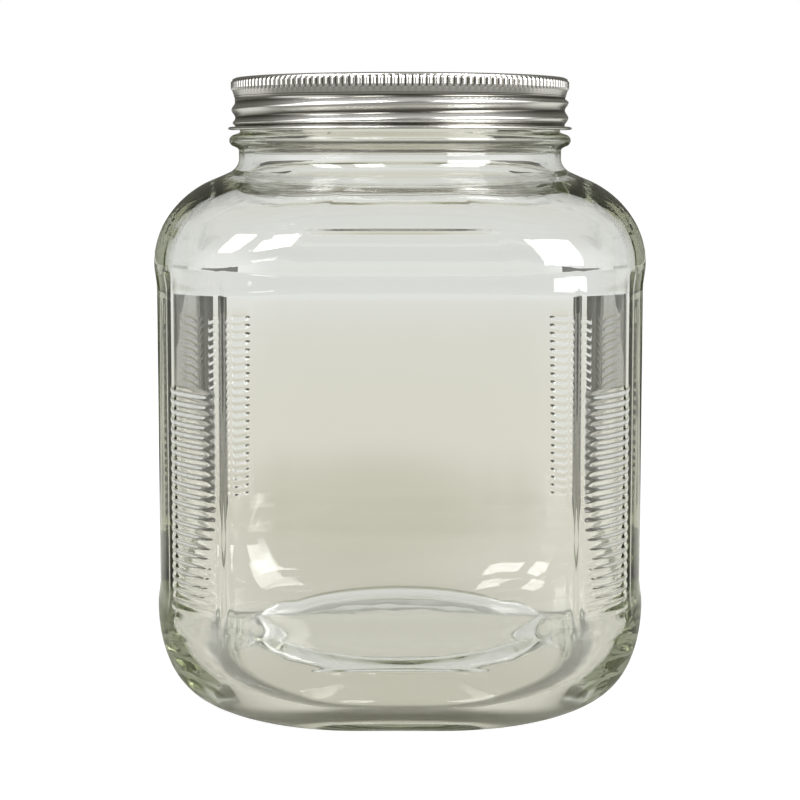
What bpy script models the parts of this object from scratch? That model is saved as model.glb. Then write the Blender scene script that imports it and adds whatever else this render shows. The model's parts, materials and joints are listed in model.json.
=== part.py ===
"""A square wide-mouth storage jar of clear glass with a one-piece screw lid of brushed aluminium.

The glass is one closed piece: a square body with broad rounded corners, a shallow panel band, a patch of grip
ribs on each upright corner, a rounded shoulder, a round neck with a collar bead and a threaded finish, and a
kicked-up base. The lid is one thin metal piece whose rolled thread follows the thread of the glass.
The origin is the centre of the base, +Z is up and the front face looks towards -Y.
"""

import math
from collections import namedtuple

import bmesh
import bpy

# Every size below is in millimetres and becomes metres when a vertex is made.
MM = 0.001

# Body, from the outside
BODY_WIDTH = 160.0
SHOULDER_WIDTH = 158.0
CORNER_RADIUS = 48.0
HEEL_TOP = 34.0
PANEL_BOTTOM = 36.5
PANEL_TOP = 138.5
PANEL_DEPTH = 0.7
BULGE_TOP = 146.0

# Base: a flat bearing ring round a kicked-up middle
BEARING_OUTER = 64.7
BEARING_INNER = 58.0
BASE_CORNER_RADIUS = 54.5
KICK_TOP_RADIUS = 45.0
KICK_HEIGHT = 11.5
KICK_CROWN = 1.0

# Shoulder and neck
SHOULDER_RADIUS = 28.3
SHOULDER_SWEEP = 68.0
NECK_RADIUS = 54.3
NECK_FILLET_WIDTH = 10.5
NECK_FILLET_HEIGHT = 6.4
NECK_FILLET_TOP = 178.5
COLLAR_RADIUS = 57.5
COLLAR_MIDDLE = 184.5
COLLAR_HALF_HEIGHT = 2.2

# Screw finish
FINISH_RADIUS = 53.9
FINISH_TOP = 203.4
RIM_ROUNDING = 1.6
THREAD_PITCH = 5.1
THREAD_HEIGHT = 1.4
THREAD_BOTTOM = 189.0
THREAD_TOP = 199.0
THREAD_FRONT_CREST = 195.8
THREAD_ROWS = 13

# Inside of the glass
WALL = 4.6
INNER_CORNER_RADIUS = 40.0
FLOOR_TROUGH = 5.2
FLOOR_HALF = 60.0
FLOOR_RING_RADIUS = 46.5
FLOOR_RING_HEIGHT = 17.5
FLOOR_CROWN = 0.8
INNER_HEEL_TOP = 33.0

# Grip ribs on the four corners. Those on the two back corners start three ribs higher.
RIB_COUNT = 23
BACK_RIBS_UP = 3
RIB_PITCH = 3.14
RIB_MIDDLE = 73.3
RIB_HEIGHT = 0.8
RIB_FOOT = 1.25
RIB_CREST = 0.4
RIB_SPREAD = 12.6
RIB_END = 2.0

# Lid
LID_TOP = 205.1
LID_SHEET = 0.55
LID_BAND_RADIUS = 56.0
LID_PANEL_RADIUS = 50.0
LID_PANEL_DEPTH = 0.6
LID_VALLEY_RADIUS = 55.4
LID_BEAD_HEIGHT = 1.2
LID_BEAD_TOP = 198.4
LID_BEAD_BOTTOM = 189.2
LID_LIP_RADIUS = 57.9
LID_LIP_BOTTOM = 188.0
LID_COLUMNS = 48
KNURL_COUNT = 120
KNURL_TIP = 56.8
KNURL_ROOT = 56.1
KNURL_INNER = 55.7
KNURL_TOP = 204.5
KNURL_BOTTOM = 200.6

CORNER_ANGLES = (
    0.0,
    15.0,
    45.0 - RIB_SPREAD - RIB_END,
    45.0 - RIB_SPREAD,
    45.0,
    45.0 + RIB_SPREAD,
    45.0 + RIB_SPREAD + RIB_END,
    75.0,
    90.0,
)

# One level of the glass: its height, the half width across the flats, the corner radius, how far the points
# have moved from the corners' own angles to even ones (1 on a circle), and the relief that stands out of it.
Level = namedtuple("Level", "z half corner roundness relief", defaults=(0.0, None))


def clear_scene():
    for thing in list(bpy.data.objects):
        bpy.data.objects.remove(thing, do_unlink=True)


def new_collection(name):
    collection = bpy.data.collections.new(name)
    bpy.context.scene.collection.children.link(collection)
    return collection


def new_material(name, color, roughness, metallic=0.0, transmission=0.0):
    material = bpy.data.materials.new(name)
    material.use_nodes = True
    shader = material.node_tree.nodes["Principled BSDF"]
    shader.inputs["Base Color"].default_value = (*color, 1.0)
    shader.inputs["Roughness"].default_value = roughness
    shader.inputs["Metallic"].default_value = metallic
    shader.inputs["Transmission Weight"].default_value = transmission
    return material


def blend(low, high, share):
    return low + (high - low) * share


def smooth_step(value):
    value = min(1.0, max(0.0, value))
    return value * value * (3 - 2 * value)


def steps(count):
    """Shares from 0 to 1, both ends included."""
    return [index / (count - 1) for index in range(count)]


def thread_crest(angle, z):
    """How near a point is to the helix's crest: 1 on it, 0 half a pitch away. The screw is right-handed."""
    front = -math.pi / 2
    turns = (z - THREAD_FRONT_CREST) / THREAD_PITCH - (angle - front) / (2 * math.pi)
    return 0.5 + 0.5 * math.cos(2 * math.pi * turns)


def glass_thread(angle, z):
    fade = smooth_step((z - THREAD_BOTTOM) / 1.5) * smooth_step((THREAD_TOP - z) / 1.5)
    return THREAD_HEIGHT * fade * thread_crest(angle, z) ** 2


def ring_points(level):
    """The points round one level: four corner arcs, with a flat between each two."""
    flat = level.half - level.corner
    points = []
    for quarter in range(4):
        turn = quarter * math.pi / 2
        for index, corner_angle in enumerate(CORNER_ANGLES):
            even_angle = (index + 0.5) * 90.0 / len(CORNER_ANGLES)
            angle = math.radians(blend(corner_angle, even_angle, level.roundness))
            radius = level.corner
            if level.relief:
                radius += level.relief(angle, turn + angle, level.z)
            x = flat + radius * math.cos(angle)
            y = flat + radius * math.sin(angle)
            turned_x = x * math.cos(turn) - y * math.sin(turn)
            turned_y = x * math.sin(turn) + y * math.cos(turn)
            points.append((turned_x, turned_y, level.z))
    return points


def loft(name, rings, first_z, last_z, collection, material):
    """A closed skin through rings of equal length, with a fan to a middle point at either end."""
    mesh = bmesh.new()
    rows = [[mesh.verts.new([MM * value for value in point]) for point in ring] for ring in rings]
    for below, above in zip(rows, rows[1:]):
        for index in range(len(below)):
            after = (index + 1) % len(below)
            mesh.faces.new((below[index], below[after], above[after], above[index]))
    for row, z in ((rows[0], first_z), (rows[-1], last_z)):
        middle = mesh.verts.new((0.0, 0.0, MM * z))
        for index in range(len(row)):
            mesh.faces.new((row[index], middle, row[(index + 1) % len(row)]))
    bmesh.ops.recalc_face_normals(mesh, faces=mesh.faces)
    data = bpy.data.meshes.new(name)
    mesh.to_mesh(data)
    mesh.free()
    data.shade_smooth()
    data.set_sharp_from_angle(angle=math.radians(40))
    data.materials.append(material)
    part = bpy.data.objects.new(name, data)
    collection.objects.link(part)
    return part


def wall_half(z):
    """Half the body's width at a height, with its slight draft from the heel to the shoulder."""
    share = (z - HEEL_TOP) / (BULGE_TOP - HEEL_TOP)
    return blend(BODY_WIDTH, SHOULDER_WIDTH, share) / 2


def panel_half(z):
    return wall_half(z) - PANEL_DEPTH


def underside_levels():
    return [
        Level(KICK_HEIGHT + KICK_CROWN * 0.6, KICK_TOP_RADIUS * 0.6, KICK_TOP_RADIUS * 0.6, 1.0),
        Level(KICK_HEIGHT, KICK_TOP_RADIUS, KICK_TOP_RADIUS, 1.0),
        Level(0.0, BEARING_INNER, BASE_CORNER_RADIUS - 1.5, 0.4),
    ]


def heel_levels():
    """The outer heel: a quarter of an ellipse from the bearing ring to the full width."""
    levels = []
    for share in steps(8):
        angle = share * math.pi / 2
        out = math.sin(angle)
        half = blend(BEARING_OUTER, BODY_WIDTH / 2, out)
        corner = blend(BASE_CORNER_RADIUS, CORNER_RADIUS, out)
        levels.append(Level(HEEL_TOP * (1 - math.cos(angle)), half, corner))
    return levels


def rib_relief(index):
    """What the ribs at one height add: all four corners have them, but for the lowest and the highest few."""

    def raised(angle, full_angle, _z):
        here = index >= BACK_RIBS_UP if math.sin(full_angle) > 0 else index < RIB_COUNT
        on_patch = abs(math.degrees(angle) - 45.0) < RIB_SPREAD + RIB_END / 2
        return RIB_HEIGHT if here and on_patch else 0.0

    return raised


def rib_levels():
    """Four levels a rib: foot, two along its crest, foot."""
    levels = []
    lowest = RIB_MIDDLE - RIB_PITCH * (RIB_COUNT - 1) / 2
    for index in range(RIB_COUNT + BACK_RIBS_UP):
        middle = lowest + index * RIB_PITCH
        for offset in (-RIB_FOOT, -RIB_CREST, RIB_CREST, RIB_FOOT):
            z = middle + offset
            relief = rib_relief(index) if abs(offset) == RIB_CREST else None
            levels.append(Level(z, panel_half(z), CORNER_RADIUS, 0.0, relief))
    return levels


def panel_levels():
    low = [Level(PANEL_BOTTOM, panel_half(PANEL_BOTTOM), CORNER_RADIUS)]
    high = [
        Level(PANEL_TOP, panel_half(PANEL_TOP), CORNER_RADIUS),
        Level(PANEL_TOP + 3.0, wall_half(PANEL_TOP + 3.0), CORNER_RADIUS),
    ]
    return low + rib_levels() + high


def shoulder_half(angle, inset=0.0):
    centre = SHOULDER_WIDTH / 2 - SHOULDER_RADIUS
    return centre + (SHOULDER_RADIUS - inset) * math.cos(angle)


def shoulder_levels(inset=0.0, count=8):
    """The shoulder, where the square plan rounds off into the neck's circle."""
    levels = []
    first_corner = INNER_CORNER_RADIUS if inset else CORNER_RADIUS
    for share in steps(count):
        angle = math.radians(SHOULDER_SWEEP) * share
        half = shoulder_half(angle, inset)
        z = BULGE_TOP + (SHOULDER_RADIUS - inset) * math.sin(angle)
        gone = (shoulder_half(0.0, inset) - half) / (shoulder_half(0.0, inset) - NECK_RADIUS + inset)
        corner = blend(first_corner, min(half, NECK_RADIUS + 2.7 - inset), gone ** 0.7)
        levels.append(Level(z, half, min(half, corner), gone ** 2))
    return levels


def neck_fillet_levels(inset=0.0):
    """The hollow curve from the shoulder up to the upright neck."""
    levels = []
    for degrees in (42.0, 22.0, 0.0):
        angle = math.radians(degrees)
        radius = NECK_RADIUS - inset + (NECK_FILLET_WIDTH + inset) * (1 - math.cos(angle))
        z = NECK_FILLET_TOP - (NECK_FILLET_HEIGHT + inset) * math.sin(angle)
        levels.append(Level(z, radius, radius, 1.0))
    return levels


def collar_levels():
    levels = []
    for share in steps(7):
        angle = math.pi * (share - 0.5)
        radius = blend(FINISH_RADIUS, COLLAR_RADIUS, math.cos(angle) ** 0.7 if 0 < share < 1 else 0.0)
        levels.append(Level(COLLAR_MIDDLE + COLLAR_HALF_HEIGHT * math.sin(angle), radius, radius, 1.0))
    return levels


def finish_levels():
    """The threaded finish, then the rounded sealing rim."""

    def relief(_angle, full_angle, z):
        return glass_thread(full_angle, z)

    levels = []
    for share in steps(THREAD_ROWS):
        z = blend(THREAD_BOTTOM, THREAD_TOP, share)
        levels.append(Level(z, FINISH_RADIUS, FINISH_RADIUS, 1.0, relief))
    for degrees in (0.0, 45.0, 90.0):
        angle = math.radians(degrees)
        radius = FINISH_RADIUS - RIM_ROUNDING * (1 - math.cos(angle))
        levels.append(Level(FINISH_TOP - RIM_ROUNDING * (1 - math.sin(angle)), radius, radius, 1.0))
    return levels


def mouth_levels():
    """Down the bore, from the rim to the neck."""
    bore = NECK_RADIUS - WALL
    levels = []
    for degrees in (90.0, 45.0, 0.0):
        angle = math.radians(degrees)
        radius = bore + RIM_ROUNDING * (1 - math.cos(angle))
        levels.append(Level(FINISH_TOP - RIM_ROUNDING * (1 - math.sin(angle)), radius, radius, 1.0))
    return levels


def inner_body_levels():
    """The straight inside wall, the inner heel and the raised floor, from the top down."""
    levels = [Level(INNER_HEEL_TOP, wall_half(INNER_HEEL_TOP) - WALL, INNER_CORNER_RADIUS)]
    heel_width = wall_half(INNER_HEEL_TOP) - WALL - FLOOR_HALF
    for share in steps(6)[1:]:
        angle = share * math.pi / 2
        half = FLOOR_HALF + heel_width * math.cos(angle)
        z = INNER_HEEL_TOP - (INNER_HEEL_TOP - FLOOR_TROUGH) * math.sin(angle)
        corner = blend(INNER_CORNER_RADIUS, FLOOR_HALF - 10.0, share)
        levels.append(Level(z, half, corner, 0.5 * share ** 2))
    inside_ring = FLOOR_RING_RADIUS * 0.6
    levels += [
        Level(FLOOR_RING_HEIGHT, FLOOR_RING_RADIUS, FLOOR_RING_RADIUS, 1.0),
        Level(FLOOR_RING_HEIGHT + FLOOR_CROWN * 0.6, inside_ring, inside_ring, 1.0),
    ]
    return levels


def make_jar(collection, glass):
    outside = underside_levels() + heel_levels() + panel_levels() + shoulder_levels()
    outside += neck_fillet_levels() + collar_levels() + finish_levels()
    inside = mouth_levels() + neck_fillet_levels(WALL)[::-1]
    inside += shoulder_levels(WALL, 6)[::-1] + inner_body_levels()
    rings = [ring_points(level) for level in outside + inside]
    floor_top = FLOOR_RING_HEIGHT + FLOOR_CROWN
    return loft("jar", rings, KICK_HEIGHT + KICK_CROWN, floor_top, collection, glass)


def lid_bead_radius(angle, z):
    """The skirt's outer radius: the rolled thread bead over the valley between its turns."""
    fade = smooth_step((z - LID_BEAD_BOTTOM) / 1.2) * smooth_step((LID_BEAD_TOP - z) / 1.2)
    return LID_VALLEY_RADIUS + LID_BEAD_HEIGHT * fade * thread_crest(angle, z)


def lid_circle(radius, z):
    """One ring of the lid. A radius may be a number or a function of the angle and the height."""
    points = []
    for index in range(LID_COLUMNS):
        angle = 2 * math.pi * index / LID_COLUMNS
        out = radius(angle, z) if callable(radius) else radius
        points.append((out * math.cos(angle), out * math.sin(angle), z))
    return points


def lid_skirt_heights():
    rows = 11
    return [blend(LID_BEAD_TOP, LID_BEAD_BOTTOM, share) for share in steps(rows)]


def inner_bead_radius(angle, z):
    return lid_bead_radius(angle, z) - LID_SHEET


def make_lid(collection, cutters, metal):
    outer_top = [
        (LID_PANEL_RADIUS - 1.5, LID_TOP - LID_PANEL_DEPTH),
        (LID_PANEL_RADIUS, LID_TOP),
        (LID_BAND_RADIUS - 0.9, LID_TOP),
        (LID_BAND_RADIUS, LID_TOP - 0.9),
        (LID_BAND_RADIUS, LID_BEAD_TOP + 0.4),
    ]
    outer_skirt = [(lid_bead_radius, z) for z in lid_skirt_heights()]
    lip = [
        (LID_LIP_RADIUS, LID_LIP_BOTTOM + 0.8),
        (LID_LIP_RADIUS, LID_LIP_BOTTOM + 0.3),
        (LID_LIP_RADIUS - 0.6, LID_LIP_BOTTOM),
        (LID_VALLEY_RADIUS, LID_LIP_BOTTOM + 0.4),
    ]
    inner_skirt = [(inner_bead_radius, z) for z in reversed(lid_skirt_heights())]
    ceiling = LID_TOP - LID_SHEET
    inner_top = [
        (LID_BAND_RADIUS - LID_SHEET, LID_BEAD_TOP + 0.4),
        (LID_BAND_RADIUS - LID_SHEET, ceiling - 0.7),
        (LID_BAND_RADIUS - LID_SHEET - 0.7, ceiling),
        (LID_PANEL_RADIUS, ceiling),
        (LID_PANEL_RADIUS - 1.5, ceiling - LID_PANEL_DEPTH),
    ]
    profile = outer_top + outer_skirt + lip + inner_skirt + inner_top
    rings = [lid_circle(radius, z) for radius, z in profile]
    panel_top = LID_TOP - LID_PANEL_DEPTH
    lid = loft("lid", rings, panel_top, panel_top - LID_SHEET, collection, metal)
    knurl = make_knurl(cutters, metal)
    union = lid.modifiers.new("knurled edge", "BOOLEAN")
    union.operation = "UNION"
    union.object = knurl
    return lid


def add_point(mesh, radius, angle, z):
    return mesh.verts.new((MM * radius * math.cos(angle), MM * radius * math.sin(angle), MM * z))


def loop_edges(mesh, loop):
    return [mesh.edges.get((loop[index - 1], loop[index])) for index in range(len(loop))]


def make_knurl(cutters, metal):
    """A toothed ring that is joined to the lid's upper edge."""
    mesh = bmesh.new()
    loops = []
    for z in (KNURL_TOP, KNURL_BOTTOM):
        teeth = []
        for index in range(2 * KNURL_COUNT):
            radius = KNURL_TIP if index % 2 else KNURL_ROOT
            teeth.append(add_point(mesh, radius, math.pi * index / KNURL_COUNT, z))
        inner = []
        for index in range(LID_COLUMNS):
            inner.append(add_point(mesh, KNURL_INNER, 2 * math.pi * (index + 0.5) / LID_COLUMNS, z))
        loops.append((teeth, inner))
    for part in (0, 1):
        upper, lower = loops[0][part], loops[1][part]
        for index in range(len(upper)):
            after = (index + 1) % len(upper)
            mesh.faces.new((upper[index], upper[after], lower[after], lower[index]))
    for teeth, inner in loops:
        edges = loop_edges(mesh, teeth) + loop_edges(mesh, inner)
        bmesh.ops.triangle_fill(mesh, use_beauty=True, edges=edges)
    bmesh.ops.recalc_face_normals(mesh, faces=mesh.faces)
    data = bpy.data.meshes.new("knurl")
    mesh.to_mesh(data)
    mesh.free()
    data.materials.append(metal)
    knurl = bpy.data.objects.new("knurl", data)
    knurl.hide_render = True
    knurl.display_type = "WIRE"
    cutters.objects.link(knurl)
    return knurl


def main():
    clear_scene()
    parts = new_collection("square_jar")
    cutters = new_collection("cutters")
    cutters.hide_render = True
    glass = new_material("clear_glass", (0.83, 0.85, 0.82), 0.02, transmission=1.0)
    metal = new_material("brushed_aluminium", (0.68, 0.67, 0.66), 0.28, metallic=1.0)
    make_jar(parts, glass)
    make_lid(parts, cutters, metal)


main()
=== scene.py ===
"""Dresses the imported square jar: smooth clear glass with grip ribs, and a knurled aluminium screw lid.

Both pieces follow the same named sizes as the part's own solids, with finer steps, so each one replaces its
plain CAD node in place. The camera stands where the photograph was taken from.
"""

import json
import math
from collections import namedtuple

import bpy
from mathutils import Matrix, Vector

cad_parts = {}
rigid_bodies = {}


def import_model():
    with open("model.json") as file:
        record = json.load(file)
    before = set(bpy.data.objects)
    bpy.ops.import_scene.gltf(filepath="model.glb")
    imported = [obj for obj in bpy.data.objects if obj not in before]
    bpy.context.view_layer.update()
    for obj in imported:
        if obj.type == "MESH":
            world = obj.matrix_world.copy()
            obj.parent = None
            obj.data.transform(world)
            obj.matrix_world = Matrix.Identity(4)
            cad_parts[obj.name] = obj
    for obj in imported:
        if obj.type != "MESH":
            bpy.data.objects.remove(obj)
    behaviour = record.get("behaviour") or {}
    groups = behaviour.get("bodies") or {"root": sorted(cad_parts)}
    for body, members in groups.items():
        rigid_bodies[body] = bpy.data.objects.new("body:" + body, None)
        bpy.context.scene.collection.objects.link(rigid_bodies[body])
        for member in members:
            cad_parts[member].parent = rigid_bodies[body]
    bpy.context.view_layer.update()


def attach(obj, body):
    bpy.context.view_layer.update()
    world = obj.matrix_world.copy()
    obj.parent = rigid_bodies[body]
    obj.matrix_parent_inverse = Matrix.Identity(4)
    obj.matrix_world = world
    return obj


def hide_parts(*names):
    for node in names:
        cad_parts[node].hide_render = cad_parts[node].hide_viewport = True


# Sizes are in millimetres here and become metres when a mesh is made.
MM = 0.001

# Body of the jar
BODY_WIDTH = 160.0
SHOULDER_WIDTH = 158.0
CORNER_RADIUS = 48.0
HEEL_TOP = 34.0
PANEL_BOTTOM = 36.5
PANEL_TOP = 138.5
PANEL_DEPTH = 0.7
PANEL_EDGE = 8.0
PANEL_BOTTOM_SHARE = 0.3
PANEL_TOP_SHARE = 0.9
BULGE_TOP = 146.0

# Base
BEARING_OUTER = 64.7
BEARING_INNER = 58.0
BASE_CORNER_RADIUS = 54.5
KICK_TOP_RADIUS = 45.0
KICK_HEIGHT = 11.5
KICK_CROWN = 1.0

# Shoulder, neck and collar
SHOULDER_RADIUS = 28.3
SHOULDER_SWEEP = 68.0
NECK_RADIUS = 54.3
NECK_FILLET_WIDTH = 10.5
NECK_FILLET_HEIGHT = 6.4
NECK_FILLET_TOP = 178.5
NECK_FILLET_SWEEP = 42.0
COLLAR_RADIUS = 57.5
COLLAR_MIDDLE = 184.5
COLLAR_HALF_HEIGHT = 2.2

# Screw finish
FINISH_RADIUS = 53.9
FINISH_TOP = 203.4
RIM_ROUNDING = 1.6
THREAD_PITCH = 5.1
THREAD_HEIGHT = 1.4
THREAD_BOTTOM = 189.0
THREAD_TOP = 199.0
THREAD_FADE = 1.5
THREAD_FRONT_CREST = 195.8

# Inside of the glass
WALL = 4.6
INNER_CORNER_RADIUS = 40.0
FLOOR_TROUGH = 5.2
FLOOR_HALF = 60.0
FLOOR_RING_RADIUS = 46.5
FLOOR_RING_HEIGHT = 17.5
FLOOR_CROWN = 0.8
INNER_HEEL_TOP = 33.0

# Grip ribs. Those on the two back corners start three ribs higher. Spreads are degrees to each side of the
# corner's diagonal. A front rib fades out where its direction from the corner's centre turns to the front.
RIB_COUNT = 23
BACK_RIBS_UP = 3
RIB_PITCH = 3.14
RIB_MIDDLE = 73.3
RIB_HEIGHT = 0.5
BACK_RIB_HEIGHT = 0.42
RIB_HALF_WIDTH = 1.45
RIB_SPREAD = 13.6
RIB_END = 1.45
BACK_RIB_SPREAD = 16.5
BACK_RIB_END = 4.0
RIB_FADE = 0.75
RIB_FADE_START = 0.74
RIB_FADE_WIDTH = 0.1
RIB_ROWS = 6

# An upright ridge at each side of the ribs, and a hollow beside it. Angles are degrees round the corner,
# counted from the nearer flat. The photograph shows them strongly on the front corners and hardly on the
# back ones.
HOLLOW_START = 23.5
HOLLOW_ANGLE = 27.2
HOLLOW_DEPTH = 0.2
RIDGE_ANGLE = 29.6
RIDGE_END = 32.6
RIDGE_HEIGHT = 0.3
BACK_RIDGES = 0.15
RIDGE_BOTTOM = 31.0
RIDGE_TOP = 147.0
RIDGE_FADE_LOW = 12.0
RIDGE_FADE_HIGH = 10.0

# Two shallow lines across the front, one on the shoulder and one on the heel
LINE_DEPTH = 0.6
LINE_HALF_HEIGHT = 1.0
SHOULDER_LINE_HEIGHT = 157.8
SHOULDER_LINE_HALF = 25.0
HEEL_LINE_HEIGHT = 23.6
HEEL_LINE_HALF = 19.0
LINE_FADE = 4.0
LINE_STEPS_REACH = 0.03

# Lid
LID_TOP = 205.1
LID_SHEET = 0.3
LID_BAND_RADIUS = 56.0
LID_PANEL_RADIUS = 50.0
LID_PANEL_DEPTH = 0.6
LID_PANEL_SLOPE = 1.6
LID_MIDDLE = 4.0
LID_VALLEY_RADIUS = 55.4
LID_BEAD_HEIGHT = 1.2
LID_BEAD_TOP = 198.4
LID_BEAD_BOTTOM = 189.2
LID_BEAD_FADE = 1.2
LID_LIP_RADIUS = 57.9
LID_LIP_BOTTOM = 188.0
KNURL_COUNT = 165
KNURL_FOOT = 0.15
KNURL_DEPTH = 0.55
KNURL_TOP = 204.2
KNURL_BOTTOM = 200.8
KNURL_FADE = 0.5
COLUMNS_A_TOOTH = 6

# Clear glass: the tint of its body, and the faint waves of its pressed surface
GLASS_IOR = 1.52
GLASS_TINT = (0.5, 0.53, 0.36, 1.0)
GLASS_DENSITY = 12.0
WAVE_SCALE = (45.0, 45.0, 26.0)
WAVE_STRENGTH = 0.35
WAVE_DEPTH = 0.0004

# Lid metal: its own pale colour on crests and painted shade that darkens the hollows, with fine lines round
# it that vary its roughness
METAL_CREST = (0.84, 0.83, 0.81)
METAL_PAINTED_SHADE = (0.18, 0.175, 0.155)
CREST_POINTINESS = 0.508
PAINTED_SHADE_POINTINESS = 0.48
BRUSHED_SCALE = (30.0, 30.0, 2600.0)
LEAST_ROUGH = 0.2
MOST_ROUGH = 0.3

# Noise is moved aside, because it has a faint seam where its coordinates pass zero.
NOISE_OFFSET = (10.5, 10.5, 0.0)

# Studio, in metres. The room and the floor each show one colour through the glass, one in reflections and
# one to the camera itself. Azimuths are in degrees: 0 is straight behind the jar, and 90 is on its right.
WHITE = (1.0, 1.0, 1.0)
BACK_LIGHT = (0.765, 0.775, 0.755)
FRONT_LIGHT = (0.58, 0.58, 0.52)
ROOM_MIRRORED = (0.12, 0.12, 0.1)
WINDOWS_MIRRORED = (2.2, 2.2, 2.17)
CEILING_MIRRORED = (0.5, 0.5, 0.48)
LEFT_WINDOW = -118.0
RIGHT_WINDOW = 112.0

# Where the room changes from one colour to another: how far a direction points to the back, to the middle of
# a window or upwards, at the start of the change and at its end
BACK_EDGE = (-0.1, 0.7)
WINDOW_EDGE = (0.77, 0.98)
CEILING_EDGE = (0.5, 0.95)

# The paper lies a hair below the jar, so that light in the jar's base leaves the glass before it meets it.
FLOOR_LEVEL = -0.0002
FLOOR_REACH = 4.0
FLOOR_COLOR = (0.18, 0.18, 0.177, 1.0)
FLOOR_FAR = (0.72, 0.735, 0.715)
# Painted shade: through the glass the paper's glow darkens from the far tone to this one towards the jar.
FLOOR_NEAR_PAINTED_SHADE = (0.555, 0.545, 0.465)
FLOOR_NEAR_REACH = 2.4
FLOOR_SEEN = (0.94, 0.94, 0.94)
FRONT_FLOOR_MIRRORED = (0.08, 0.08, 0.06)
BACK_FLOOR_MIRRORED = (0.6, 0.6, 0.55)

# Painted soft shadow behind the jar, and a painted contact shadow: a dark ring where its base meets the
# paper, with slightly darker paper under its middle
SHADOW_COLOR = (0.74, 0.73, 0.64)
SHADOW_CENTRE = (-0.012, 0.26)
SHADOW_HALF = (0.11, 0.23)
CONTACT_SHADOW_COLOR = (0.18, 0.18, 0.14)
UNDER_JAR_SHADE_COLOR = (0.9, 0.9, 0.86)
CONTACT_REACH = 0.1

# Darker floor beside the paper: the azimuth and the distance of each corner
FLOOR_CARD_CORNERS = ((34.0, 0.22), (34.0, 2.6), (6.4, 2.6), (17.0, 0.27))
FLOOR_CARD_LEVEL = 0.001
FLOOR_CARD_COLOR = (1.0, 1.0, 0.75)
FLOOR_CARD_GLOW = 0.03

# Lamps shaped like windows, all at one distance and facing the jar
Lamp = namedtuple("Lamp", "name azimuth level width height power")
LAMPS = (
    Lamp("window_left_front", -157.0, 1.15, 0.5, 0.48, 7.5),
    Lamp("window_left_side", -119.0, 1.15, 0.45, 0.53, 7.5),
    Lamp("window_right", 131.0, 0.75, 0.8, 0.9, 20.5),
)
LAMP_DISTANCE = 1.3
LAMP_TARGET = (0.0, 0.0, 0.12)

# Camera, fitted to the photograph
CAMERA_DISTANCE = 565.3
CAMERA_HEIGHT = 183.7
CAMERA_PITCH = 8.853
CAMERA_LENS = 74.25
SENSOR_WIDTH = 36.0
CLIP_START = 0.02

# Light that is caught in the wall's edges meets its faces many times before it leaves.
GLASS_BOUNCES = 96

# One level of the glass: its height, the half width across the flats, the corner radius, how far the points
# have moved from the square's own angles to even ones (1 on a circle), and the relief that stands out of it.
Level = namedtuple("Level", "z half corner roundness relief", defaults=(0.0, None))


def blend(low, high, share):
    return low + (high - low) * share


def clamp(value, low=0.0, high=1.0):
    return min(high, max(low, value))


def smooth_step(value):
    value = clamp(value)
    return value * value * (3 - 2 * value)


def held_between(z, bottom, top, fade):
    """1 between two heights, falling softly to 0 at both."""
    return smooth_step((z - bottom) / fade) * smooth_step((top - z) / fade)


def steps(count):
    """Shares from 0 to 1, both ends included."""
    return [index / (count - 1) for index in range(count)]


def with_fine_steps(shares, middle, reach):
    """The same shares, with finer steps between them on both sides of one place."""
    fine = [middle + reach * (2 * share - 1) for share in steps(9)]
    return sorted([share for share in shares if abs(share - middle) > reach * 1.1] + fine)


def thread_crest(angle, z):
    """How near a point is to the helix's crest: 1 on it, 0 half a pitch away. The screw is right-handed."""
    front = -math.pi / 2
    turns = (z - THREAD_FRONT_CREST) / THREAD_PITCH - (angle - front) / (2 * math.pi)
    return 0.5 + 0.5 * math.cos(2 * math.pi * turns)


def softened(points, passes=2):
    """Cuts the corners of a run of equal tuples, so that its bends become smooth."""
    for _ in range(passes):
        cut = [points[0]]
        for here, after in zip(points, points[1:]):
            cut.append(tuple(blend(a, b, 0.25) for a, b in zip(here, after)))
            cut.append(tuple(blend(a, b, 0.75) for a, b in zip(here, after)))
        points = cut + [points[-1]]
    return points


def make_mesh(name, rings, first, last, material):
    """A closed skin through rings of equal length, with a fan to a middle point at either end."""
    verts = [point for ring in rings for point in ring] + [first, last]
    count = len(rings[0])
    faces = []
    for row in range(len(rings) - 1):
        base = row * count
        for index in range(count):
            after = (index + 1) % count
            faces.append((base + index, base + after, base + count + after, base + count + index))
    first_index = len(verts) - 2
    last_index = len(verts) - 1
    base = (len(rings) - 1) * count
    for index in range(count):
        after = (index + 1) % count
        faces.append((first_index, after, index))
        faces.append((last_index, base + index, base + after))
    mesh = bpy.data.meshes.new(name)
    mesh.from_pydata([[MM * value for value in point] for point in verts], [], faces)
    mesh.validate()
    mesh.shade_smooth()
    mesh.materials.append(material)
    piece = bpy.data.objects.new(name, mesh)
    bpy.context.scene.collection.objects.link(piece)
    return piece


# The glass

# The share of a quarter turn that each half of a flat takes, and its number of columns
FLAT_SHARE = 0.17
FLAT_COLUMNS = 3


def quarter_columns():
    """Places round a quarter turn: 0 and 1 are the middles of two flats, 0.5 the corner's diagonal."""
    lower = [FLAT_SHARE * index / FLAT_COLUMNS for index in range(FLAT_COLUMNS)]
    angles = [HOLLOW_START * share for share in steps(8)[:-1]]
    angles += [blend(HOLLOW_START, RIDGE_END, share) for share in steps(14)[:-1]]
    angles += [blend(RIDGE_END, 45.0, share) for share in steps(5)[:-1]]
    lower += [blend(FLAT_SHARE, 1 - FLAT_SHARE, angle / 90.0) for angle in angles]
    upper = [1 - place for place in reversed(lower[1:])]
    return lower + [0.5] + upper


COLUMNS = quarter_columns()


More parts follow.
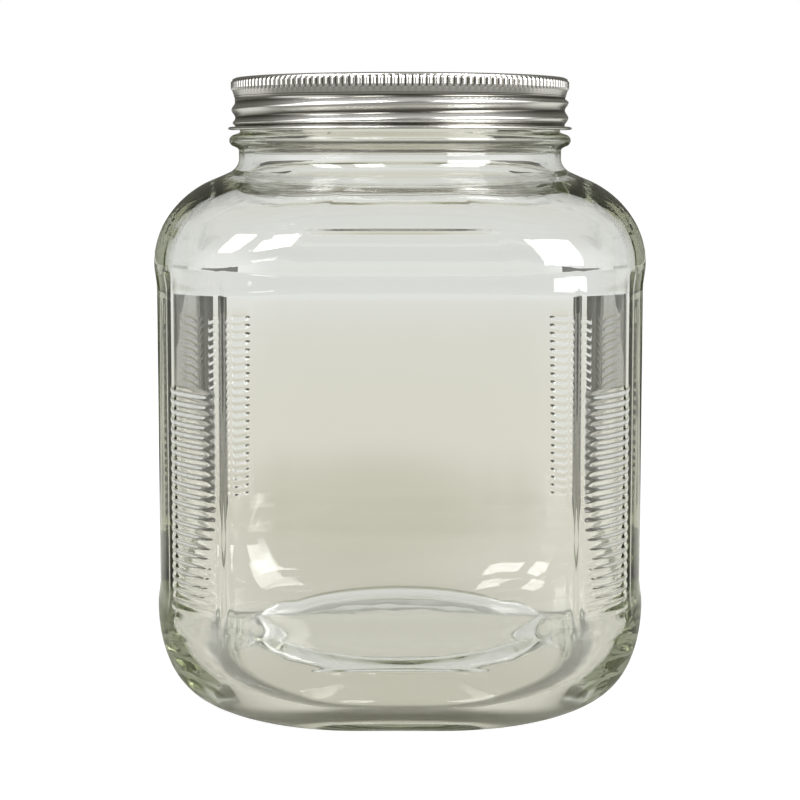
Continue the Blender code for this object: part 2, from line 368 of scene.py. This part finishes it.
def ring_points(level):
    """The points round one level of the glass."""
    flat = level.half - level.corner
    points = []
    for quarter in range(4):
        turn = quarter * math.pi / 2
        for place in COLUMNS:
            arc = 90.0 * clamp((place - FLAT_SHARE) / (1 - 2 * FLAT_SHARE))
            angle = math.radians(blend(arc, 90.0 * place, level.roundness))
            radius = level.corner
            if level.relief:
                radius += level.relief(math.degrees(angle), turn + angle, level.z)
            x = flat * clamp((1 - place) / FLAT_SHARE) + radius * math.cos(angle)
            y = flat * clamp(place / FLAT_SHARE) + radius * math.sin(angle)
            turned_x = x * math.cos(turn) - y * math.sin(turn)
            turned_y = x * math.sin(turn) + y * math.cos(turn)
            points.append((turned_x, turned_y, level.z))
    return points


def wall_half(z):
    """Half the body's width at a height, with its slight draft and the shallow panel band."""
    share = (z - HEEL_TOP) / (BULGE_TOP - HEEL_TOP)
    half = blend(BODY_WIDTH, SHOULDER_WIDTH, share) / 2
    into_band = smooth_step(PANEL_BOTTOM_SHARE + (z - PANEL_BOTTOM) / PANEL_EDGE)
    out_of_band = smooth_step(PANEL_TOP_SHARE + (PANEL_TOP - z) / PANEL_EDGE)
    return half - PANEL_DEPTH * min(into_band, out_of_band)


def inner_half(z):
    share = (z - HEEL_TOP) / (BULGE_TOP - HEEL_TOP)
    return blend(BODY_WIDTH, SHOULDER_WIDTH, share) / 2 - WALL


def underside_levels():
    """The kicked-up middle, out to the bearing ring. Each tuple is z, half, corner, roundness."""
    corner = BASE_CORNER_RADIUS - 1.5
    points = [
        (KICK_HEIGHT + KICK_CROWN, 1.0, 1.0, 1.0),
        (KICK_HEIGHT + KICK_CROWN * 0.8, 20.0, 20.0, 1.0),
        (KICK_HEIGHT, KICK_TOP_RADIUS, KICK_TOP_RADIUS, 1.0),
        (KICK_HEIGHT * 0.5, blend(KICK_TOP_RADIUS, BEARING_INNER, 0.5), 49.0, 0.8),
        (0.0, BEARING_INNER, corner, 0.4),
    ]
    return [Level(*point) for point in softened(points, 2)]


def heel_levels():
    """The outer heel: a quarter of an ellipse from the bearing ring to the full width."""
    levels = []
    line = math.acos(1 - HEEL_LINE_HEIGHT / HEEL_TOP) * 2 / math.pi
    for share in with_fine_steps(steps(20), line, LINE_STEPS_REACH):
        angle = share * math.pi / 2
        out = math.sin(angle)
        half = blend(BEARING_OUTER, BODY_WIDTH / 2, out)
        corner = blend(BASE_CORNER_RADIUS, CORNER_RADIUS, out)
        z = HEEL_TOP * (1 - math.cos(angle))
        relief = ridge_relief if z > RIDGE_BOTTOM else None
        levels.append(Level(z, half, corner, 0.0, relief))
    return levels


def rib_relief(corner_angle, full_angle, z):
    """Rounded bars with rounded ends, standing out of the corner."""
    on_back = math.sin(full_angle) > 0
    lowest = RIB_MIDDLE + RIB_PITCH * ((BACK_RIBS_UP if on_back else 0) - (RIB_COUNT - 1) / 2)
    index = clamp(round((z - lowest) / RIB_PITCH), 0, RIB_COUNT - 1)
    off_middle = (z - lowest - index * RIB_PITCH) / RIB_HALF_WIDTH
    arc_of_degree = math.radians(1.0) * CORNER_RADIUS
    spread, end = (BACK_RIB_SPREAD, BACK_RIB_END) if on_back else (RIB_SPREAD, RIB_END)
    past_end = (abs(corner_angle - 45.0) - spread) * arc_of_degree / end + 1.0
    distance = math.hypot(off_middle, max(0.0, past_end))
    towards_front = smooth_step((-math.sin(full_angle) - RIB_FADE_START) / RIB_FADE_WIDTH)
    height = BACK_RIB_HEIGHT if on_back else RIB_HEIGHT * (1 - RIB_FADE * towards_front)
    return height * (0.5 + 0.5 * math.cos(math.pi * min(1.0, distance)))


def ridge_relief(corner_angle, full_angle, z):
    """The upright ridges of a corner, which run out to a point at the bottom."""
    angle = min(corner_angle, 90.0 - corner_angle)
    fade = smooth_step((z - RIDGE_BOTTOM) / RIDGE_FADE_LOW) * smooth_step((RIDGE_TOP - z) / RIDGE_FADE_HIGH)
    if math.sin(full_angle) > 0:
        fade *= BACK_RIDGES
    into_hollow = smooth_step((angle - HOLLOW_START) / (HOLLOW_ANGLE - HOLLOW_START))
    onto_ridge = smooth_step((angle - HOLLOW_ANGLE) / (RIDGE_ANGLE - HOLLOW_ANGLE))
    off_ridge = smooth_step((angle - RIDGE_ANGLE) / (RIDGE_END - RIDGE_ANGLE))
    rise = HOLLOW_DEPTH + RIDGE_HEIGHT
    return fade * (rise * onto_ridge - HOLLOW_DEPTH * into_hollow - RIDGE_HEIGHT * off_ridge)


def corner_relief(corner_angle, full_angle, z):
    return ridge_relief(corner_angle, full_angle, z) + rib_relief(corner_angle, full_angle, z)


def rib_heights():
    lowest = RIB_MIDDLE - RIB_PITCH * RIB_COUNT / 2
    rows = (RIB_COUNT + BACK_RIBS_UP) * RIB_ROWS
    return [lowest + RIB_PITCH * index / RIB_ROWS for index in range(rows + 1)]


def side_levels():
    """The upright wall, from the heel to the start of the shoulder."""
    ribs = rib_heights()
    below = [blend(HEEL_TOP, ribs[0], share) for share in steps(6)[1:-1]]
    above = [blend(ribs[-1], PANEL_TOP - 1.0, share) for share in steps(8)[1:]]
    edge = [blend(PANEL_TOP - 1.0, BULGE_TOP, share) for share in steps(14)[1:-1]]
    heights = below + ribs + above + edge
    return [Level(z, wall_half(z), CORNER_RADIUS, 0.0, corner_relief) for z in heights]


def shoulder_half(angle, inset=0.0):
    centre = SHOULDER_WIDTH / 2 - SHOULDER_RADIUS
    return centre + (SHOULDER_RADIUS - inset) * math.cos(angle)


def shoulder_points(inset=0.0, count=16):
    """The shoulder, where the square plan rounds off into the neck's circle."""
    points = []
    first_corner = INNER_CORNER_RADIUS if inset else CORNER_RADIUS
    line = math.degrees(math.asin((SHOULDER_LINE_HEIGHT - BULGE_TOP) / SHOULDER_RADIUS)) / SHOULDER_SWEEP
    shares = steps(count) if inset else with_fine_steps(steps(count), line, LINE_STEPS_REACH)
    for share in shares:
        angle = math.radians(SHOULDER_SWEEP) * share
        half = shoulder_half(angle, inset)
        z = BULGE_TOP + (SHOULDER_RADIUS - inset) * math.sin(angle)
        gone = (shoulder_half(0.0, inset) - half) / (shoulder_half(0.0, inset) - NECK_RADIUS + inset)
        corner = blend(first_corner, min(half, NECK_RADIUS + 2.7 - inset), gone ** 0.7)
        points.append((z, half, min(half, corner), gone ** 2))
    return points


def neck_points(inset=0.0):
    """The hollow curve from the shoulder up to the upright neck."""
    points = []
    for share in steps(7):
        angle = math.radians(NECK_FILLET_SWEEP * (1 - share))
        radius = NECK_RADIUS - inset + (NECK_FILLET_WIDTH + inset) * (1 - math.cos(angle))
        z = NECK_FILLET_TOP - (NECK_FILLET_HEIGHT + inset) * math.sin(angle)
        points.append((z, radius, radius, 1.0))
    return points


def upper_levels(inset=0.0):
    return [Level(*point) for point in softened(shoulder_points(inset) + neck_points(inset), 1)]


def circle_levels(points):
    return [Level(z, radius, radius, 1.0) for z, radius in points]


def collar_levels():
    points = [(NECK_FILLET_TOP + 1.0, NECK_RADIUS), (COLLAR_MIDDLE - COLLAR_HALF_HEIGHT - 0.6, NECK_RADIUS)]
    for share in steps(11)[1:-1]:
        angle = math.pi * (share - 0.5)
        radius = blend(FINISH_RADIUS, COLLAR_RADIUS, math.cos(angle) ** 0.7)
        points.append((COLLAR_MIDDLE + COLLAR_HALF_HEIGHT * math.sin(angle), radius))
    points.append((COLLAR_MIDDLE + COLLAR_HALF_HEIGHT + 0.5, FINISH_RADIUS))
    return circle_levels(softened(points, 1))


def glass_thread(_corner_angle, full_angle, z):
    fade = held_between(z, THREAD_BOTTOM, THREAD_TOP, THREAD_FADE)
    return THREAD_HEIGHT * fade * thread_crest(full_angle, z) ** 2


def finish_levels():
    """The threaded finish, then the rounded sealing rim."""
    levels = []
    for share in steps(26):
        z = blend(THREAD_BOTTOM, THREAD_TOP, share)
        levels.append(Level(z, FINISH_RADIUS, FINISH_RADIUS, 1.0, glass_thread))
    for share in steps(7):
        angle = math.radians(90.0 * share)
        radius = FINISH_RADIUS - RIM_ROUNDING * (1 - math.cos(angle))
        levels.append(Level(FINISH_TOP - RIM_ROUNDING * (1 - math.sin(angle)), radius, radius, 1.0))
    return levels


def mouth_levels():
    """Down the bore, from the rim to the neck."""
    bore = NECK_RADIUS - WALL
    levels = []
    for share in steps(7):
        angle = math.radians(90.0 * (1 - share))
        radius = bore + RIM_ROUNDING * (1 - math.cos(angle))
        levels.append(Level(FINISH_TOP - RIM_ROUNDING * (1 - math.sin(angle)), radius, radius, 1.0))
    return levels


def inner_wall_levels():
    heights = [blend(BULGE_TOP, INNER_HEEL_TOP, share) for share in steps(9)[1:]]
    return [Level(z, inner_half(z), INNER_CORNER_RADIUS) for z in heights]


def floor_levels():
    """The inner heel and the raised floor, from the wall to the middle."""
    heel_width = inner_half(INNER_HEEL_TOP) - FLOOR_HALF
    points = []
    for share in steps(14)[1:]:
        angle = share * math.pi / 2
        half = FLOOR_HALF + heel_width * math.cos(angle)
        z = INNER_HEEL_TOP - (INNER_HEEL_TOP - FLOOR_TROUGH) * math.sin(angle)
        corner = blend(INNER_CORNER_RADIUS, FLOOR_HALF - 10.0, share)
        points.append((z, half, corner, 0.5 * share ** 2))
    middle = blend(FLOOR_HALF, FLOOR_RING_RADIUS, 0.5)
    points += [
        (blend(FLOOR_TROUGH, FLOOR_RING_HEIGHT, 0.45), middle, middle - 1.5, 0.9),
        (FLOOR_RING_HEIGHT - 1.2, FLOOR_RING_RADIUS + 1.2, FLOOR_RING_RADIUS + 1.2, 1.0),
        (FLOOR_RING_HEIGHT, FLOOR_RING_RADIUS - 1.6, FLOOR_RING_RADIUS - 1.6, 1.0),
        (FLOOR_RING_HEIGHT + FLOOR_CROWN * 0.8, 20.0, 20.0, 1.0),
        (FLOOR_RING_HEIGHT + FLOOR_CROWN, 1.0, 1.0, 1.0),
    ]
    return [Level(*point) for point in softened(points, 1)]


def marked(point):
    """A point of the outside, pressed in where one of the two shallow lines runs across the front."""
    x, y, z = point
    if y > 0:
        return point
    pressed = 0.0
    for height, half in ((SHOULDER_LINE_HEIGHT, SHOULDER_LINE_HALF), (HEEL_LINE_HEIGHT, HEEL_LINE_HALF)):
        across = 0.5 + 0.5 * math.cos(math.pi * min(1.0, abs(z - height) / LINE_HALF_HEIGHT))
        pressed += LINE_DEPTH * across * smooth_step((half + LINE_FADE / 2 - abs(x)) / LINE_FADE)
    return (x, y + pressed, z)


def make_jar(material):
    outside = underside_levels() + heel_levels() + side_levels() + upper_levels()
    outside += collar_levels() + finish_levels()
    inside = mouth_levels() + upper_levels(WALL)[::-1] + inner_wall_levels() + floor_levels()
    rings = [[marked(point) for point in ring_points(level)] for level in outside]
    rings += [ring_points(level) for level in inside]
    underside_middle = (0.0, 0.0, KICK_HEIGHT + KICK_CROWN)
    floor_middle = (0.0, 0.0, FLOOR_RING_HEIGHT + FLOOR_CROWN)
    return make_mesh("glass_jar", rings, underside_middle, floor_middle, material)


# The lid


def lid_bead_radius(angle, z):
    """The skirt's outer radius: the rolled thread bead over the valley between its turns."""
    fade = held_between(z, LID_BEAD_BOTTOM, LID_BEAD_TOP, LID_BEAD_FADE)
    return LID_VALLEY_RADIUS + LID_BEAD_HEIGHT * fade * thread_crest(angle, z)


def inner_bead_radius(angle, z):
    return lid_bead_radius(angle, z) - LID_SHEET


def knurl_radius(angle, z):
    """Rounded teeth that fade out above and below the knurled band."""
    fade = held_between(z, KNURL_BOTTOM, KNURL_TOP, KNURL_FADE)
    tooth = 0.5 + 0.5 * math.cos(KNURL_COUNT * angle)
    return LID_BAND_RADIUS + KNURL_FOOT + KNURL_DEPTH * fade * tooth


def lid_ring(radius, z):
    """One ring of the lid. A radius may be a number or a function of the angle and the height."""
    count = KNURL_COUNT * COLUMNS_A_TOOTH
    points = []
    for index in range(count):
        angle = 2 * math.pi * index / count
        out = radius(angle, z) if callable(radius) else radius
        points.append((out * math.cos(angle), out * math.sin(angle), z))
    return points


def lid_profile():
    """(radius, height) from the middle of the top, down the outside, round the lip and up the inside."""
    low_panel = LID_TOP - LID_PANEL_DEPTH
    top = softened(
        [
            (LID_MIDDLE, low_panel),
            (LID_PANEL_RADIUS - LID_PANEL_SLOPE, low_panel),
            (LID_PANEL_RADIUS, LID_TOP),
            (LID_BAND_RADIUS - 0.9, LID_TOP),
            (LID_BAND_RADIUS + 0.1, LID_TOP - 0.5),
        ],
        1,
    )
    band = [(knurl_radius, blend(KNURL_TOP + 0.2, KNURL_BOTTOM - 0.2, share)) for share in steps(11)]
    groove = [(LID_BAND_RADIUS, KNURL_BOTTOM - 0.6), (LID_VALLEY_RADIUS + 0.2, LID_BEAD_TOP + 0.4)]
    beads = [(lid_bead_radius, blend(LID_BEAD_TOP, LID_BEAD_BOTTOM, share)) for share in steps(27)]
    lip = softened(
        [
            (LID_VALLEY_RADIUS + 0.1, LID_BEAD_BOTTOM - 0.1),
            (LID_LIP_RADIUS - 0.2, LID_LIP_BOTTOM + 1.0),
            (LID_LIP_RADIUS, LID_LIP_BOTTOM),
            (LID_VALLEY_RADIUS, LID_LIP_BOTTOM + 0.1),
            (LID_VALLEY_RADIUS - LID_SHEET, LID_LIP_BOTTOM + 0.8),
        ],
        2,
    )
    inner_beads = [(inner_bead_radius, z) for _radius, z in reversed(beads[::2])]
    ceiling = LID_TOP - LID_SHEET
    inside = [
        (LID_BAND_RADIUS - LID_SHEET, LID_BEAD_TOP + 0.6),
        (LID_BAND_RADIUS - LID_SHEET, ceiling - 0.7),
        (LID_BAND_RADIUS - LID_SHEET - 0.7, ceiling),
        (LID_PANEL_RADIUS, ceiling),
        (LID_PANEL_RADIUS - LID_PANEL_SLOPE, ceiling - LID_PANEL_DEPTH),
        (LID_MIDDLE, ceiling - LID_PANEL_DEPTH),
    ]
    return top + band + groove + beads + lip + inner_beads + inside


def make_lid(material):
    rings = [lid_ring(radius, z) for radius, z in lid_profile()]
    low_panel = LID_TOP - LID_PANEL_DEPTH
    top_middle = (0.0, 0.0, low_panel)
    under_middle = (0.0, 0.0, low_panel - LID_SHEET)
    return make_mesh("screw_lid", [ring[::-1] for ring in rings], top_middle, under_middle, material)


# Materials


def new_material(name):
    material = bpy.data.materials.new(name)
    material.use_nodes = True
    tree = material.node_tree
    shader = tree.nodes["Principled BSDF"]
    output = tree.nodes["Material Output"]
    return material, tree, shader, output


def object_coordinates(tree, scale):
    coordinates = tree.nodes.new("ShaderNodeTexCoord")
    mapping = tree.nodes.new("ShaderNodeMapping")
    mapping.inputs["Scale"].default_value = scale
    mapping.inputs["Location"].default_value = NOISE_OFFSET
    tree.links.new(coordinates.outputs["Object"], mapping.inputs["Vector"])
    return mapping.outputs["Vector"]


def noise(tree, scale, detail):
    """Noise in the object's own coordinates, with a scale for each axis."""
    texture = tree.nodes.new("ShaderNodeTexNoise")
    texture.inputs["Scale"].default_value = 1.0
    texture.inputs["Detail"].default_value = detail
    tree.links.new(object_coordinates(tree, scale), texture.inputs["Vector"])
    return texture.outputs["Fac"]


def share_between(tree, value, low, high, interpolation="SMOOTHSTEP"):
    """0 where a value is at the low end, rising to 1 at the high end."""
    node = tree.nodes.new("ShaderNodeMapRange")
    node.interpolation_type = interpolation
    node.inputs["From Min"].default_value = low
    node.inputs["From Max"].default_value = high
    tree.links.new(value, node.inputs["Value"])
    return node.outputs["Result"]


def glass_material():
    """Clear pressed glass: a faint green-grey body colour and a slightly wavy surface."""
    material, tree, shader, output = new_material("clear_glass")
    shader.inputs["Base Color"].default_value = (*WHITE, 1.0)
    shader.inputs["Roughness"].default_value = 0.0
    shader.inputs["IOR"].default_value = GLASS_IOR
    shader.inputs["Transmission Weight"].default_value = 1.0
    bump = tree.nodes.new("ShaderNodeBump")
    bump.inputs["Strength"].default_value = WAVE_STRENGTH
    bump.inputs["Distance"].default_value = WAVE_DEPTH
    tree.links.new(noise(tree, WAVE_SCALE, 1.5), bump.inputs["Height"])
    tree.links.new(bump.outputs["Normal"], shader.inputs["Normal"])
    body = tree.nodes.new("ShaderNodeVolumeAbsorption")
    body.inputs["Color"].default_value = GLASS_TINT
    body.inputs["Density"].default_value = GLASS_DENSITY
    tree.links.new(body.outputs["Volume"], output.inputs["Volume"])
    return material


def lid_material():
    """Brushed aluminium with fine lines that run round the lid, with painted shade darkening its hollows."""
    material, tree, shader, _output = new_material("brushed_aluminium")
    shader.inputs["Metallic"].default_value = 1.0
    form = tree.nodes.new("ShaderNodeNewGeometry")
    pointiness = form.outputs["Pointiness"]
    # Painted shade: the base colour darkens from the metal's pale colour to a dark tone where pointiness is
    # low, in the hollows.
    out_of_painted_shade = share_between(tree, pointiness, PAINTED_SHADE_POINTINESS, CREST_POINTINESS, "LINEAR")
    tree.links.new(mix_colors(tree, out_of_painted_shade, METAL_PAINTED_SHADE, METAL_CREST), shader.inputs["Base Color"])
    rough = tree.nodes.new("ShaderNodeMapRange")
    rough.inputs["To Min"].default_value = LEAST_ROUGH
    rough.inputs["To Max"].default_value = MOST_ROUGH
    tree.links.new(noise(tree, BRUSHED_SCALE, 3.0), rough.inputs["Value"])
    tree.links.new(rough.outputs["Result"], shader.inputs["Roughness"])
    return material


def glow_material(name, strength, color):
    material = bpy.data.materials.new(name)
    material.use_nodes = True
    tree = material.node_tree
    tree.nodes.clear()
    glow = tree.nodes.new("ShaderNodeEmission")
    glow.inputs["Color"].default_value = (*color, 1.0)
    glow.inputs["Strength"].default_value = strength
    output = tree.nodes.new("ShaderNodeOutputMaterial")
    tree.links.new(glow.outputs["Emission"], output.inputs["Surface"])
    return material


# Studio


def add_sheet(name, corners, material):
    mesh = bpy.data.meshes.new(name)
    mesh.from_pydata(corners, [], [tuple(range(len(corners)))])
    mesh.materials.append(material)
    sheet = bpy.data.objects.new(name, mesh)
    bpy.context.scene.collection.objects.link(sheet)
    return sheet


def hidden_from_camera(card):
    """A card that shows through the glass, but that isn't itself in the picture."""
    card.visible_camera = False
    card.visible_shadow = False
    card.visible_diffuse = False
    return card


def polar(azimuth, distance, height=0.0):
    """A point round the jar, from its azimuth in degrees."""
    angle = math.radians(azimuth)
    return (distance * math.sin(angle), distance * math.cos(angle), height)


def floor_card(name, side):
    """A darker stretch of floor beside the white paper that the jar stands on. The side is -1 or 1."""
    places = [(side * azimuth, distance) for azimuth, distance in FLOOR_CARD_CORNERS]
    corners = [polar(azimuth, distance, FLOOR_CARD_LEVEL) for azimuth, distance in places]
    material = glow_material(name, FLOOR_CARD_GLOW, FLOOR_CARD_COLOR)
    return hidden_from_camera(add_sheet(name, corners, material))


def add_window(lamp):
    """An area light that faces the jar."""
    place = Vector(polar(lamp.azimuth, LAMP_DISTANCE, lamp.level))
    light = bpy.data.lights.new(lamp.name, "AREA")
    light.shape = "RECTANGLE"
    light.size = lamp.width
    light.size_y = lamp.height
    light.energy = lamp.power
    window = bpy.data.objects.new(lamp.name, light)
    window.location = place
    window.rotation_euler = (Vector(LAMP_TARGET) - place).to_track_quat("-Z", "Y").to_euler()
    bpy.context.scene.collection.objects.link(window)


def mix_colors(tree, share, low, high):
    """A mix of two colours, each of them fixed or from another node."""
    mix = tree.nodes.new("ShaderNodeMix")
    mix.data_type = "RGBA"
    tree.links.new(share, mix.inputs["Factor"])
    for name, color in (("A", low), ("B", high)):
        socket = next(item for item in mix.inputs if item.name == name and item.type == "RGBA")
        if isinstance(color, tuple):
            socket.default_value = (*color, 1.0)
        else:
            tree.links.new(color, socket)
    return next(item for item in mix.outputs if item.type == "RGBA")


def by_ray(tree, through_glass, mirrored, seen):
    """One colour for what is seen through the glass, one for reflections and one for the camera itself."""
    ray = tree.nodes.new("ShaderNodeLightPath")
    color = mix_colors(tree, ray.outputs["Is Transmission Ray"], mirrored, through_glass)
    return mix_colors(tree, ray.outputs["Is Camera Ray"], color, seen)


def soft_patch(tree, x, y, half_x, half_y):
    """1 at a point of the floor, falling evenly to 0 at an ellipse round it."""
    coordinates = tree.nodes.new("ShaderNodeTexCoord")
    mapping = tree.nodes.new("ShaderNodeMapping")
    mapping.inputs["Scale"].default_value = (1 / half_x, 1 / half_y, 1.0)
    mapping.inputs["Location"].default_value = (-x / half_x, -y / half_y, 0.0)
    patch = tree.nodes.new("ShaderNodeTexGradient")
    patch.gradient_type = "SPHERICAL"
    tree.links.new(coordinates.outputs["Object"], mapping.inputs["Vector"])
    tree.links.new(mapping.outputs["Vector"], patch.inputs["Vector"])
    return patch.outputs["Fac"]


def ramp(tree, value, stops):
    """A colour ramp over a value, from (position, colour) stops."""
    node = tree.nodes.new("ShaderNodeValToRGB")
    node.color_ramp.interpolation = "EASE"
    elements = node.color_ramp.elements
    while len(elements) < len(stops):
        elements.new(0.5)
    for element, (position, color) in zip(elements, stops):
        element.position = position
        element.color = (*color, 1.0)
    tree.links.new(value, node.inputs["Fac"])
    return node.outputs["Color"]


def multiplied(tree, one, other):
    node = tree.nodes.new("ShaderNodeVectorMath")
    node.operation = "MULTIPLY"
    tree.links.new(one, node.inputs[0])
    tree.links.new(other, node.inputs[1])
    return node.outputs["Vector"]


def window_glow(tree, direction, azimuth):
    """1 towards a window, falling softly to 0 all round it."""
    nearness = tree.nodes.new("ShaderNodeVectorMath")
    nearness.operation = "DOT_PRODUCT"
    nearness.inputs[1].default_value = polar(azimuth, 1.0)
    tree.links.new(direction, nearness.inputs[0])
    return share_between(tree, nearness.outputs["Value"], *WINDOW_EDGE)


def set_world():
    """A studio that is bright behind the jar and dimmer in front. Reflections see a dim room instead, with a
    window on each side and a pale ceiling."""
    world = bpy.data.worlds.new("studio")
    world.use_nodes = True
    tree = world.node_tree
    background = tree.nodes["Background"]
    direction = tree.nodes.new("ShaderNodeTexCoord").outputs["Generated"]
    parts = tree.nodes.new("ShaderNodeSeparateXYZ")
    tree.links.new(direction, parts.inputs["Vector"])
    backwards = share_between(tree, parts.outputs["Y"], *BACK_EDGE)
    through_glass = mix_colors(tree, backwards, FRONT_LIGHT, BACK_LIGHT)
    mirrored = ROOM_MIRRORED
    for azimuth in (LEFT_WINDOW, RIGHT_WINDOW):
        mirrored = mix_colors(tree, window_glow(tree, direction, azimuth), mirrored, WINDOWS_MIRRORED)
    overhead = share_between(tree, parts.outputs["Z"], *CEILING_EDGE)
    mirrored = mix_colors(tree, overhead, mirrored, CEILING_MIRRORED)
    tree.links.new(by_ray(tree, through_glass, mirrored, WHITE), background.inputs["Color"])
    bpy.context.scene.world = world


def floor_glow(tree):
    """What the floor glows with through the glass: painted shade that darkens it towards the jar, the jar's
    painted shadow behind it and a painted contact shadow round and under its base.
    """
    # Painted shade that darkens the paper's glow towards the jar
    near = soft_patch(tree, 0.0, 0.0, FLOOR_NEAR_REACH, FLOOR_NEAR_REACH)
    painted_shade_tone = ramp(tree, near, ((0.1, FLOOR_FAR), (0.85, FLOOR_NEAR_PAINTED_SHADE)))
    behind = soft_patch(tree, *SHADOW_CENTRE, *SHADOW_HALF)
    shadow = ramp(tree, behind, ((0.0, WHITE), (0.8, SHADOW_COLOR)))
    # Painted contact shadow: a dark ring round the base's edge, and painted shade under its middle
    contact_shadow_mask = soft_patch(tree, 0.0, 0.0, CONTACT_REACH, CONTACT_REACH)
    ring = ((0.24, WHITE), (0.3, CONTACT_SHADOW_COLOR), (0.38, CONTACT_SHADOW_COLOR), (0.43, UNDER_JAR_SHADE_COLOR))
    return multiplied(tree, multiplied(tree, painted_shade_tone, shadow), ramp(tree, contact_shadow_mask, ring))


def floor_material():
    """Matt white paper. It glows, so that it is white to the camera, and through the glass its glow carries
    painted shade and painted shadows.
    """
    material, tree, shader, _output = new_material("studio_floor")
    shader.inputs["Base Color"].default_value = FLOOR_COLOR
    shader.inputs["Roughness"].default_value = 0.9
    shader.inputs["Specular IOR Level"].default_value = 0.1
    shader.inputs["Emission Strength"].default_value = 1.0
    behind_jar = soft_patch(tree, 0.0, 1.5, 3.0, 1.5)
    mirrored = ramp(tree, behind_jar, ((0.0, FRONT_FLOOR_MIRRORED), (0.1, BACK_FLOOR_MIRRORED)))
    tree.links.new(by_ray(tree, floor_glow(tree), mirrored, FLOOR_SEEN), shader.inputs["Emission Color"])
    return material


def add_studio():
    set_world()
    signs = ((-1, -1), (1, -1), (1, 1), (-1, 1))
    corners = [(FLOOR_REACH * x, FLOOR_REACH * y, FLOOR_LEVEL) for x, y in signs]
    add_sheet("floor", corners, floor_material())
    floor_card("floor_card_left", -1)
    floor_card("floor_card_right", 1)
    for lamp in LAMPS:
        add_window(lamp)


def add_camera():
    data = bpy.data.cameras.new("camera")
    data.lens = CAMERA_LENS
    data.sensor_width = SENSOR_WIDTH
    data.clip_start = CLIP_START
    camera = bpy.data.objects.new("camera", data)
    camera.location = (0.0, -CAMERA_DISTANCE * MM, CAMERA_HEIGHT * MM)
    camera.rotation_euler = (math.radians(90.0 - CAMERA_PITCH), 0.0, 0.0)
    bpy.context.scene.collection.objects.link(camera)
    bpy.context.scene.camera = camera


def set_view():
    scene = bpy.context.scene
    scene.view_settings.view_transform = "Standard"
    scene.view_settings.look = "None"
    scene.cycles.max_bounces = GLASS_BOUNCES
    scene.cycles.transmission_bounces = GLASS_BOUNCES
    scene.cycles.glossy_bounces = GLASS_BOUNCES
    scene.cycles.transparent_max_bounces = 16
    scene.cycles.caustics_refractive = True
    scene.cycles.use_denoising = True


def main():
    for thing in list(bpy.data.objects):
        bpy.data.objects.remove(thing, do_unlink=True)
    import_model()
    glass = glass_material()
    metal = lid_material()
    jar = make_jar(glass)
    lid = make_lid(metal)
    for piece, node, slot in ((jar, "jar", "glass"), (lid, "lid", "lid_metal")):
        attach(piece, "root")
        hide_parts(node)
    add_studio()
    add_camera()
    set_view()


main()
